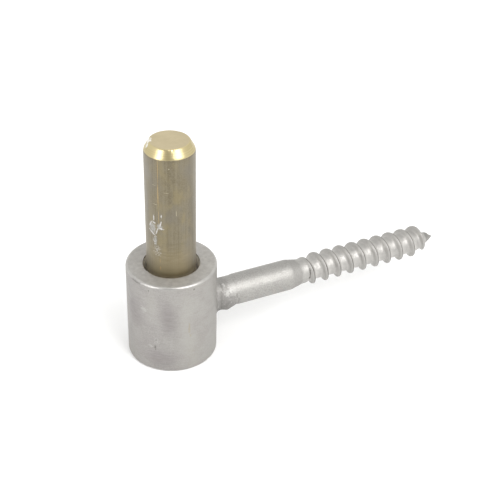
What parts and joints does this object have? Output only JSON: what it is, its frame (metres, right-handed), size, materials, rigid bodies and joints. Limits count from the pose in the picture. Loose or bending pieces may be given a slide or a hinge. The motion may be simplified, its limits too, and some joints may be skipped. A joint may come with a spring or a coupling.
{
  "type": "screw-in pintle",
  "caption": "Screw-in pintle: a steel collar on a welded wood screw, with an upright brass pin for the eye of a gate or shutter hinge.",
  "frame": {"origin": "on the pin's axis, in the plane of the collar's top face that carries the hinge's eye", "axes": "+Z along the pin, away from the collar; +X along the screw, from the collar to its tip"},
  "size_m": [0.1334, 0.0334, 0.088],
  "materials": {
    "collar_steel": "satin, blasted",
    "pin_brass": "drawn, dulled, with a bright turned lead",
    "screw_steel": "satin, rolled thread",
    "weld_steel": "rough weld"
  },
  "bodies": {
    "root": {"collar": "collar_steel", "brass_pin": "pin_brass", "lag_screw": "screw_steel", "weld_bead": "weld_steel"}
  },
  "joints": []
}
